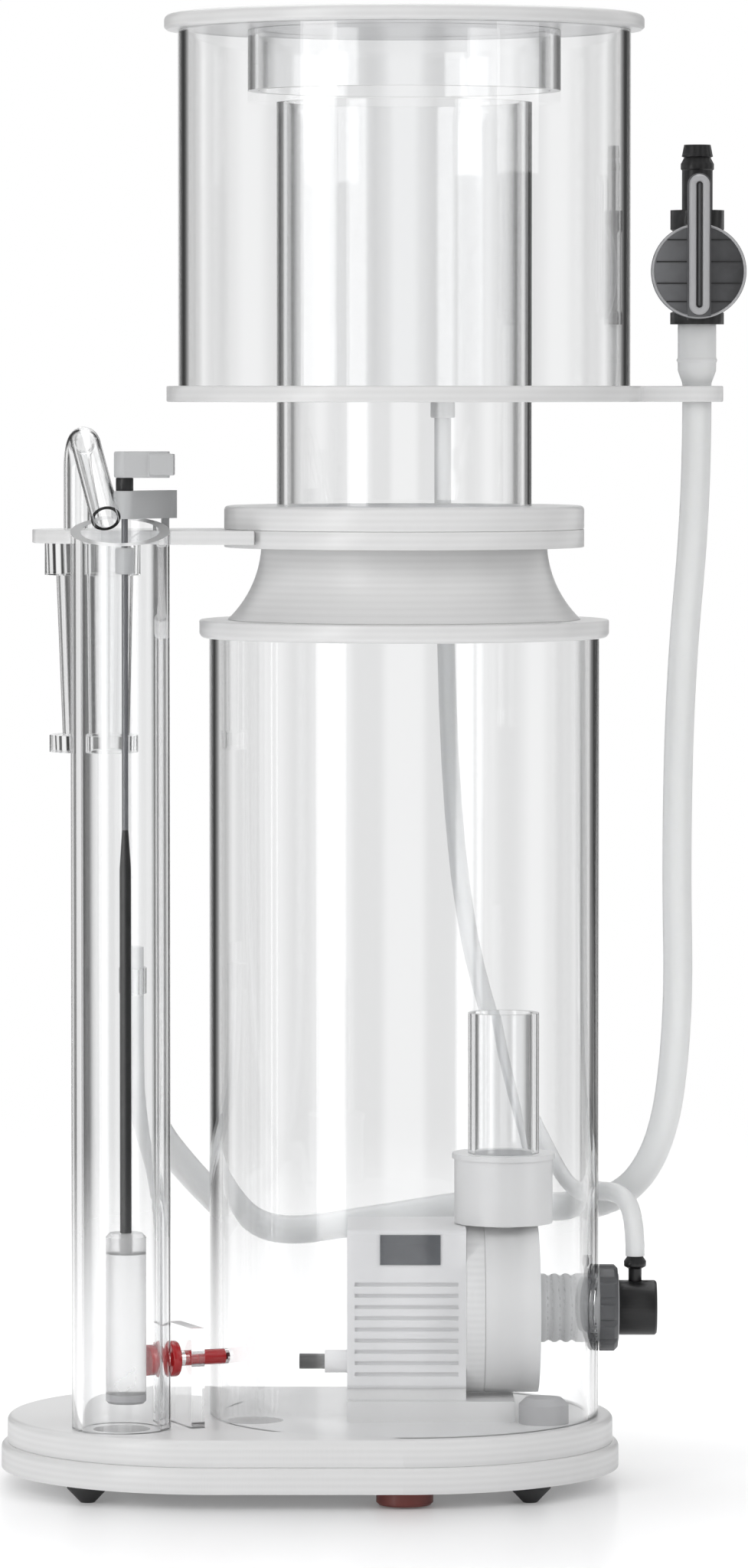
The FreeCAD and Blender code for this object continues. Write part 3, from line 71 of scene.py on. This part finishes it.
def add_camera():
    camera = bpy.data.objects.new("camera", bpy.data.cameras.new("camera"))
    scene.collection.objects.link(camera)
    camera.data.lens = LENS
    camera.data.sensor_width = 36
    camera.data.clip_end = 50
    camera.location = AXIS + Vector((CAMERA_SIDE, -CAMERA_DISTANCE, CAMERA_HEIGHT))
    aim = AXIS + Vector((CAMERA_SIDE, 0, AIM_HEIGHT))
    camera.rotation_euler = (aim - camera.location).to_track_quat("-Z", "Y").to_euler()
    scene.camera = camera


# ---------------------------------------------------------------- shader helpers

def srgb(red, green, blue):
    """A colour given as 0 to 255 display values, as linear light."""
    def linear(value):
        value /= 255
        return value / 12.92 if value <= 0.04045 else ((value + 0.055) / 1.055) ** 2.4
    return (linear(red), linear(green), linear(blue), 1)


class Shader:
    """A Principled material and short ways to add nodes to it."""

    def __init__(self, name, colour, roughness, **sockets):
        self.material = bpy.data.materials.new(name)
        self.material.use_nodes = True
        self.tree = self.material.node_tree
        self.bsdf = self.tree.nodes["Principled BSDF"]
        self.set("Base Color", colour)
        self.set("Roughness", roughness)
        for socket, value in sockets.items():
            self.set(socket.replace("_", " "), value)
        self.coords = self.add("ShaderNodeTexCoord").outputs["Object"]

    def set(self, socket, value):
        self.bsdf.inputs[socket].default_value = value

    def add(self, kind, inputs=None, **settings):
        node = self.tree.nodes.new(kind)
        for key, value in settings.items():
            setattr(node, key, value)
        for key, value in (inputs or {}).items():
            if isinstance(value, bpy.types.NodeSocket):
                self.tree.links.new(value, node.inputs[key])
            else:
                node.inputs[key].default_value = value
        return node

    def link(self, output, socket):
        self.tree.links.new(output, self.bsdf.inputs[socket])

    def noise(self, scale, detail=3.0, stretch=None):
        """Noise with scale cells to the metre, drawn out by stretch along each axis."""
        vector = self.coords
        if stretch:
            vector = self.add("ShaderNodeVectorMath", {0: self.coords, 1: stretch}, operation="MULTIPLY")
            vector = vector.outputs[0]
        made = self.add("ShaderNodeTexNoise", {"Vector": vector, "Scale": scale, "Detail": detail})
        return made.outputs["Fac"]

    def spread(self, value, low, high):
        """A 0 to 1 value moved to the range low to high."""
        return self.add("ShaderNodeMapRange", {"Value": value, "From Min": 0.25, "From Max": 0.75,
                                               "To Min": low, "To Max": high}).outputs["Result"]

    def blend(self, factor, first, second):
        mix = self.add("ShaderNodeMix", data_type="RGBA")
        self.tree.links.new(factor, mix.inputs["Factor"])
        for name, value in (("A", first), ("B", second)):
            socket = next(s for s in mix.inputs if s.name == name and s.type == "RGBA")
            if isinstance(value, bpy.types.NodeSocket):
                self.tree.links.new(value, socket)
            else:
                socket.default_value = value
        return next(s for s in mix.outputs if s.type == "RGBA")

    def bump(self, height, strength, distance):
        made = self.add("ShaderNodeBump", {"Height": height, "Strength": strength, "Distance": distance})
        self.link(made.outputs["Normal"], "Normal")

    def maths(self, operation, first, second=0.0, third=0.0):
        made = self.add("ShaderNodeMath", {0: first, 1: second, 2: third}, operation=operation)
        return made.outputs[0]

    def let_light_through(self, tint):
        """Lamps and soft light reach what is behind the clear wall, as they do in life."""
        path = self.add("ShaderNodeLightPath")
        passing = self.maths("MAXIMUM", path.outputs["Is Shadow Ray"], path.outputs["Is Diffuse Ray"])
        clear = self.add("ShaderNodeBsdfTransparent", {"Color": tint})
        mixed = self.add("ShaderNodeMixShader", {0: passing, 1: self.bsdf.outputs["BSDF"],
                                                 2: clear.outputs["BSDF"]})
        self.tree.links.new(mixed.outputs[0], self.tree.nodes["Material Output"].inputs["Surface"])


def shade(colour, factor):
    return tuple(min(1, channel * factor) for channel in colour[:3]) + (1,)


# ---------------------------------------------------------------- materials

def plain_plastic(name, colour, roughness, grain=700, **sockets):
    """Moulded plastic: slight mottling of the colour and gloss, and a fine grain."""
    made = Shader(name, colour, roughness, **sockets)
    broad = made.noise(60, 4)
    made.link(made.blend(broad, shade(colour, 0.94), colour), "Base Color")
    made.link(made.spread(broad, roughness * 0.85, roughness * 1.15), "Roughness")
    made.bump(made.noise(grain, 2), 0.25, 0.00005)
    return made.material


RING_PITCH = 0.0007
PASS_PITCH = 0.0026


def turned_pvc(name, colour, roughness):
    """Machined PVC: faint turning rings on the flats and cutter passes round the edges, under a gloss."""
    made = Shader(name, colour, roughness, IOR=1.52)
    centred = made.add("ShaderNodeVectorMath", {0: made.coords, 1: AXIS}, operation="SUBTRACT").outputs[0]
    split = made.add("ShaderNodeSeparateXYZ", {0: centred})
    squared = made.maths("MULTIPLY", split.outputs["X"], split.outputs["X"])
    squared = made.maths("MULTIPLY_ADD", split.outputs["Y"], split.outputs["Y"], squared)
    radius = made.maths("SQRT", squared)
    rings = made.maths("SINE", made.maths("MULTIPLY", radius, 2 * math.pi / RING_PITCH))
    passes = made.maths("SINE", made.maths("MULTIPLY", split.outputs["Z"], 2 * math.pi / PASS_PITCH))
    broad = made.noise(25, 4)
    toned = made.blend(broad, shade(colour, 0.955), colour)
    made.link(made.blend(made.maths("MULTIPLY_ADD", passes, 0.5, 0.5), shade(colour, 0.93), toned),
              "Base Color")
    made.link(made.spread(broad, roughness * 0.85, roughness * 1.15), "Roughness")
    height = made.maths("MULTIPLY_ADD", made.noise(900, 2), 0.6, rings)
    height = made.maths("MULTIPLY_ADD", passes, 1.5, height)
    made.bump(height, 0.08, 0.0001)
    return made.material


def clear_acrylic(name, tint, polish=0.008):
    """Extruded clear tube: faint drawing lines along Z, and sawn ends (faces that look along Z) left dull."""
    made = Shader(name, tint, polish, IOR=1.49)
    made.set("Transmission Weight", 1)
    made.set("Specular IOR Level", 0.38)
    normal = made.add("ShaderNodeNewGeometry").outputs["Normal"]
    facing = made.maths("ABSOLUTE", made.add("ShaderNodeSeparateXYZ", {0: normal}).outputs["Z"])
    sawn = made.maths("GREATER_THAN", facing, 0.9)
    streaks = made.noise(260, 3, (1, 1, 0.02))
    smooth = made.spread(streaks, polish * 0.6, polish * 1.6)
    made.link(made.maths("MULTIPLY_ADD", sawn, 0.3, smooth), "Roughness")
    made.link(made.maths("MULTIPLY_ADD", sawn, -0.35, 1.0), "Transmission Weight")
    made.bump(streaks, 0.05, 0.00005)
    made.let_light_through((0.97, 0.972, 0.975, 1))
    return made.material


def silicone(name, colour):
    """Milky silicone hose: light passes a little way in and the skin has a soft bloom."""
    made = Shader(name, colour, 0.34, IOR=1.41)
    made.set("Subsurface Weight", 0.35)
    made.set("Transmission Weight", 0.3)
    made.set("Subsurface Radius", (0.004, 0.004, 0.0038))
    made.set("Subsurface Scale", 1.0)
    broad = made.noise(90, 3)
    made.link(made.blend(broad, shade(colour, 0.96), colour), "Base Color")
    made.link(made.spread(broad, 0.28, 0.42), "Roughness")
    made.bump(made.noise(420, 2), 0.12, 0.00006)
    return made.material


def milky_plastic(name, colour):
    """Unpigmented moulded plastic that lets a little light through."""
    made = Shader(name, colour, 0.34, IOR=1.49)
    made.set("Transmission Weight", 0.22)
    broad = made.noise(70, 4)
    made.link(made.blend(broad, shade(colour, 0.95), colour), "Base Color")
    made.link(made.spread(broad, 0.28, 0.42), "Roughness")
    made.bump(made.noise(600, 2), 0.2, 0.00005)
    return made.material


def frosted_plunger(name):
    """Off-white, slightly see-through moulded cylinder."""
    made = Shader(name, (0.97, 0.97, 0.97, 1), 0.25, IOR=1.2)
    made.set("Transmission Weight", 0.72)
    made.link(made.spread(made.noise(80, 3), 0.24, 0.4), "Roughness")
    made.bump(made.noise(500, 2), 0.15, 0.00005)
    return made.material


def tap_disc_finish(name):
    """Ribbed dark plastic, with a painted highlight towards its left-hand side and painted shade towards its
    right, broken by mottling.
    """
    made = Shader(name, srgb(70, 71, 73), 0.38)
    low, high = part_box("tap_knob")
    across = made.add("ShaderNodeSeparateXYZ", {0: made.coords}).outputs["X"]
    side = made.add("ShaderNodeMapRange", {"Value": across, "From Min": low.x, "From Max": high.x,
                                           "To Min": 0.0, "To Max": 1.0}).outputs["Result"]
    # Painted light and shade: the disc's colour runs from pale on the left to dark on the right, with random
    # mottling on top.
    lit_side_and_mottle = made.maths("MULTIPLY_ADD", made.noise(220, 4), 0.3, made.maths("SUBTRACT", side, 0.15))
    made.link(made.blend(lit_side_and_mottle, srgb(112, 113, 115), srgb(44, 44, 46)), "Base Color")
    made.bump(made.noise(500, 2), 0.3, 0.0001)
    return made.material


ROD_SLEEVE_TOP = 0.2594


def rod_finish(name):
    """A thin steel rod whose lower length is sleeved in black plastic."""
    sleeve, steel = srgb(9, 9, 10), srgb(120, 121, 124)
    made = Shader(name, sleeve, 0.42)
    height = made.add("ShaderNodeSeparateXYZ", {0: made.coords}).outputs["Z"]
    bare = made.maths("GREATER_THAN", height, ROD_SLEEVE_TOP)
    made.link(made.blend(bare, sleeve, steel), "Base Color")
    made.link(made.maths("MULTIPLY", bare, 0.8), "Metallic")
    made.bump(made.noise(900, 2, (1, 1, 0.05)), 0.2, 0.00004)
    return made.material


def plain_label(name):
    """A dark label with nothing printed on it but a faint satin weave."""
    made = Shader(name, srgb(70, 73, 78), 0.3)
    broad = made.noise(160, 3)
    made.link(made.blend(broad, srgb(58, 61, 66), srgb(88, 91, 96)), "Base Color")
    made.bump(made.noise(1200, 2), 0.1, 0.00003)
    return made.material


materials = {
    "white_pvc": turned_pvc("white_pvc", srgb(229, 229, 229), 0.33),
    "clear_acrylic": clear_acrylic("clear_acrylic", (0.985, 0.987, 0.989, 1)),
    "black_rubber": plain_plastic("black_rubber", srgb(34, 34, 35), 0.6, grain=900),
    "plug_brown": plain_plastic("plug_brown", srgb(112, 52, 46), 0.42),
    "silicone": silicone("silicone", srgb(247, 248, 248)),
    "black_plastic": plain_plastic("black_plastic", srgb(24, 24, 25), 0.36),
    "dark_grey_plastic": plain_plastic("dark_grey_plastic", srgb(84, 85, 87), 0.4),
    "grey_plastic": plain_plastic("grey_plastic", srgb(190, 191, 192), 0.38),
    "grey_rubber": plain_plastic("grey_rubber", srgb(168, 168, 170), 0.55, grain=900),
    "tap_disc": tap_disc_finish("tap_disc"),
    "tap_trim": plain_plastic("tap_trim", srgb(176, 176, 178), 0.3),
    "pale_plastic": frosted_plunger("pale_plastic"),
    "rod_steel": rod_finish("rod_steel"),
    "red_plastic": plain_plastic("red_plastic", srgb(170, 22, 28), 0.26, Coat_Weight=0.4),
    "pump_grey": plain_plastic("pump_grey", srgb(233, 233, 234), 0.42),
    "pump_pale": milky_plastic("pump_pale", srgb(247, 247, 247)),
    "bush_plastic": plain_plastic("bush_plastic", srgb(90, 90, 88), 0.5),
    "magnet_black": plain_plastic("magnet_black", srgb(60, 60, 62), 0.45),
    "ceramic_white": plain_plastic("ceramic_white", srgb(240, 240, 236), 0.15),
    "wheel_white": plain_plastic("wheel_white", srgb(232, 232, 228), 0.4),
    "label_dark": plain_label("label_dark"),
}

# Nodes whose own finish goes beyond their slot's, and edge radii in metres for the slots that have them.
OVERRIDES = {"tap_knob": "tap_disc"}
BEVELS = {"white_pvc": 0.0006, "grey_plastic": 0.0007, "pump_grey": 0.0006, "red_plastic": 0.0005,
          "black_rubber": 0.0005, "dark_grey_plastic": 0.0004, "black_plastic": 0.0003}
WELD_DISTANCE = 0.000002


def dress_frame():
    """Give each CAD node its material, and softened edges for the slots that have them."""
    for row in frame["record"]["subparts"]:
        item = frame["nodes"][row["node"]]
        slot = row["material_slot"]
        item.data.materials.clear()
        item.data.materials.append(materials[OVERRIDES.get(row["node"], slot)])
        for polygon in item.data.polygons:
            polygon.material_index = 0
        if slot in BEVELS:
            weld = item.modifiers.new("weld", "WELD")
            weld.merge_threshold = WELD_DISTANCE
            bevel = item.modifiers.new("bevel", "BEVEL")
            bevel.width = BEVELS[slot]
            bevel.segments = 2
            bevel.limit_method = "ANGLE"
            bevel.angle_limit = math.radians(38)
            bevel.harden_normals = True


# ---------------------------------------------------------------- hoses

PLATE_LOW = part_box("cup_bottom_plate")[0].z
TAP_X = (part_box("hose_cuff")[0].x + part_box("hose_cuff")[1].x) / 2
NIPPLE_X = (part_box("venturi_nipple")[0].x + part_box("venturi_nipple")[1].x) / 2
NIPPLE_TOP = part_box("venturi_nipple")[1].z
port_low, port_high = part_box("air_port")

TAP_HOSE_ROUTE = [
    (114.5, 0, 386), (108.3, 1, 318), (106.8, 2, 246), (108.2, 4, 180), (101.5, 17, 126), (80, 53, 101),
    (38, 87, 102), (-14, 94, 93), (-60, 74, 89), (-82, 44, 113), (-102, -2, 144), (-104, -14, 176),
    (-104, -14, 212),
]
AIR_HOSE_ROUTE = [
    (17.3, 76, 384), (17.5, 88.5, 336), (20.2, 87, 262), (27.5, 84.5, 205), (42, 77, 160), (60, 61, 127),
    (73, 42, 110), (86, 13, 113),
]
AIR_HOSE_DROP = Vector((0, 0, 0.0151))
TAP_HOSE_DIAMETER = 0.0114
AIR_HOSE_DIAMETER = 0.0075


def hose_curve(name, points, diameter):
    """A round hose along a smooth line steered by its route's points."""
    data = bpy.data.curves.new(name, "CURVE")
    data.dimensions = "3D"
    data.bevel_depth = diameter / 2
    data.bevel_resolution = 8
    data.resolution_u = 12
    data.use_fill_caps = True
    spline = data.splines.new("NURBS")
    spline.points.add(len(points) - 1)
    for control, point in zip(spline.points, points):
        control.co = (*point, 1)
    spline.order_u = 3
    spline.use_endpoint_u = True
    data.materials.append(materials["silicone"])
    item = bpy.data.objects.new(name, data)
    scene.collection.objects.link(item)
    return item


def add_hoses():
    start = Vector((TAP_X, 0, PLATE_LOW))
    hose = hose_curve("drain_hose", [start] + from_axis(TAP_HOSE_ROUTE), TAP_HOSE_DIAMETER)
    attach(hose, "chamber")
    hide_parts("tap_hose")

    start = Vector(((port_low.x + port_high.x) / 2, (port_low.y + port_high.y) / 2, port_low.z))
    end = Vector((NIPPLE_X, 0, NIPPLE_TOP))
    line = hose_curve("air_line", [start] + from_axis(AIR_HOSE_ROUTE) + [end + AIR_HOSE_DROP, end],
                      AIR_HOSE_DIAMETER)
    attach(line, "chamber")
    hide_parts("air_hose")


# ---------------------------------------------------------------- tap handle

LEVER_RIM = 0.0015
DISC_RIM = 0.0005
GROOVE = 0.0005
GROOVE_HEIGHTS = (0.0122, 0.0037, -0.0047, -0.0118)
GROOVE_EDGE_GAP = 0.0016
GROOVE_LEVER_GAP = 0.0002


def bead(name, points, depth, material):
    """A thin round bead along a closed run of points."""
    data = bpy.data.curves.new(name, "CURVE")
    data.dimensions = "3D"
    data.bevel_depth = depth
    data.bevel_resolution = 3
    spline = data.splines.new("POLY")
    spline.points.add(len(points) - 1)
    for control, point in zip(spline.points, points):
        control.co = (*point, 1)
    spline.use_cyclic_u = True
    data.materials.append(materials[material])
    item = bpy.data.objects.new(name, data)
    scene.collection.objects.link(item)
    return item


def arc(centre, radius, start, stop, steps=24):
    """Points on an arc in the X-Z plane, angles in degrees anticlockwise from +X."""
    angles = [math.radians(start + (stop - start) * step / steps) for step in range(steps + 1)]
    return [centre + Vector((math.cos(angle) * radius, 0, math.sin(angle) * radius)) for angle in angles]


def add_tap_trim():
    """A raised rim round the lever bar and the disc, and grooves across the disc's face."""
    bpy.context.view_layer.update()
    knob = frame["nodes"]["tap_knob"]
    corners = [knob.matrix_world @ vertex.co for vertex in knob.data.vertices]
    low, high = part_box("tap_knob")
    middle = (low.x + high.x) / 2
    radius = (high.x - low.x) / 2
    disc_face = min(corner.y for corner in corners if abs(corner.x - middle) > 0.6 * radius)
    bar = [corner for corner in corners if corner.y < disc_face - 0.0005]
    half = max(abs(corner.x - middle) for corner in bar)
    bar_low = min(corner.z for corner in bar)
    inset = half - 1.3 * LEVER_RIM
    top = Vector((middle, low.y, high.z - half))
    foot = Vector((middle, low.y, bar_low + half))
    outline = arc(top, inset, 0, 180) + arc(foot, inset, 180, 360)
    recess = 0.45 * inset
    ridge = arc(top, recess, 0, 180) + arc(foot, recess, 180, 360)
    centre = Vector((middle, disc_face, low.z + radius))
    edge = arc(centre, radius - 1.2 * DISC_RIM, 0, 357, 90)
    pieces = [bead("tap_lever_rim", outline, LEVER_RIM, "tap_trim"),
              bead("tap_lever_ridge", ridge, 0.45 * LEVER_RIM, "black_plastic"),
              bead("tap_disc_rim", edge, DISC_RIM, "tap_trim")]
    mesh = bpy.data.meshes.new("tap_disc_grooves")
    made = bmesh.new()
    for height in GROOVE_HEIGHTS:
        chord = math.sqrt(radius ** 2 - height ** 2) - GROOVE_EDGE_GAP
        for side in (-1, 1):
            near, far = side * (half + GROOVE_LEVER_GAP), side * chord
            length = abs(far - near)
            place = Vector((middle + (near + far) / 2, disc_face - GROOVE / 5, centre.z + height))
            size = Matrix.Diagonal((length, GROOVE, GROOVE, 1))
            bmesh.ops.create_cube(made, size=1, matrix=Matrix.Translation(place) @ size)
    made.to_mesh(mesh)
    made.free()
    mesh.materials.append(materials["black_plastic"])
    grooves = bpy.data.objects.new("tap_disc_grooves", mesh)
    scene.collection.objects.link(grooves)
    pieces.append(grooves)
    for piece in pieces:
        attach(piece, "tap_handle")


# ---------------------------------------------------------------- studio

LIGHT_AIM_HEIGHT = 0.3


def add_area(name, azimuth, distance, height, width, tall, power, seen=True):
    """A softbox round the object, at an azimuth where 0 is the camera's side and 90 the right-hand side.

    seen is whether glossy faces mirror it.
    """
    light = bpy.data.objects.new(name, bpy.data.lights.new(name, "AREA"))
    light.data.shape = "RECTANGLE"
    light.data.size = width
    light.data.size_y = tall
    light.data.energy = power
    angle = math.radians(azimuth)
    light.location = AXIS + Vector((math.sin(angle) * distance, -math.cos(angle) * distance, height))
    aim = AXIS + Vector((0, 0, LIGHT_AIM_HEIGHT))
    light.rotation_euler = (aim - light.location).to_track_quat("-Z", "Y").to_euler()
    light.visible_camera = False
    light.visible_glossy = seen
    scene.collection.objects.link(light)


def add_world():
    """Pale surroundings, white where the main views look and greyer between them."""
    world = bpy.data.worlds.new("studio")
    scene.world = world
    world.use_nodes = True
    tree = world.node_tree
    background = tree.nodes["Background"]
    coords = tree.nodes.new("ShaderNodeTexCoord").outputs["Generated"]
    split = tree.nodes.new("ShaderNodeSeparateXYZ")
    tree.links.new(coords, split.inputs[0])

    def maths(operation, first, second=None):
        node = tree.nodes.new("ShaderNodeMath")
        node.operation = operation
        for socket, value in zip(node.inputs, (first, second)):
            if isinstance(value, bpy.types.NodeSocket):
                tree.links.new(value, socket)
            elif value is not None:
                socket.default_value = value
        return node.outputs[0]

    angle = maths("ARCTAN2", split.outputs["X"], split.outputs["Y"])
    lobes = maths("COSINE", maths("MULTIPLY", angle, 8.0))
    ramp = tree.nodes.new("ShaderNodeMapRange")
    ramp.interpolation_type = "SMOOTHSTEP"
    tree.links.new(lobes, ramp.inputs["Value"])
    for name, value in (("From Min", -0.75), ("From Max", 0.35), ("To Min", 0.05), ("To Max", 0.9)):
        ramp.inputs[name].default_value = value
    path = tree.nodes.new("ShaderNodeLightPath")
    fill = maths("SUBTRACT", 1.0, maths("MULTIPLY", path.outputs["Is Diffuse Ray"], 0.42))
    strength = maths("MAXIMUM", maths("MULTIPLY", ramp.outputs["Result"], fill),
                     path.outputs["Is Camera Ray"])
    tree.links.new(strength, background.inputs["Strength"])
    background.inputs["Color"].default_value = (1, 1, 1, 1)


def add_floor():
    """A pale floor that fades into the surroundings away from the object, with a painted glow that is weaker
    near the object, so the ground there reads as painted shade.
    """
    mesh = bpy.data.meshes.new("floor")
    made = bmesh.new()
    bmesh.ops.create_circle(made, cap_ends=True, radius=1.6, segments=96)
    made.to_mesh(mesh)
    made.free()
    floor = bpy.data.objects.new("floor", mesh)
    scene.collection.objects.link(floor)
    surface = Shader("floor", (0.93, 0.93, 0.935, 1), 0.26)
    surface.set("Emission Color", (1, 1, 1, 1))
    distance = surface.add("ShaderNodeVectorMath", {0: surface.coords}, operation="LENGTH").outputs["Value"]
    fade = surface.add("ShaderNodeMapRange", {"Value": distance, "From Min": 0.35, "From Max": 1.5,
                                              "To Min": 1.0, "To Max": 0.0})
    fade.interpolation_type = "SMOOTHSTEP"
    surface.link(fade.outputs["Result"], "Alpha")
    # Painted light: the floor glows faintly though it is no lamp, less near the object to deepen its shadow
    # and more further out to whiten it.
    floor_glow = surface.add("ShaderNodeMapRange", {"Value": distance, "From Min": 0.1, "From Max": 0.3,
                                              "To Min": 0.08, "To Max": 0.36})
    surface.link(floor_glow.outputs["Result"], "Emission Strength")
    mesh.materials.append(surface.material)


def add_studio():
    add_world()
    add_floor()
    add_area("strip_left", azimuth=-43, distance=1.1, height=0.42, width=0.34, tall=1.7, power=5.5)
    add_area("soft_front", azimuth=-15, distance=2.2, height=1.6, width=1.2, tall=1.2, power=10, seen=False)
    add_area("soft_right", azimuth=60, distance=1.6, height=1.1, width=0.8, tall=1.2, power=8, seen=False)
    add_area("top", azimuth=180, distance=0.5, height=1.7, width=1.4, tall=1.4, power=12)
    scene.view_settings.view_transform = "Standard"
    scene.cycles.max_bounces = 24
    scene.cycles.transmission_bounces = 24
    scene.cycles.transparent_max_bounces = 16


add_camera()
add_hoses()
dress_frame()
add_tap_trim()
add_studio()
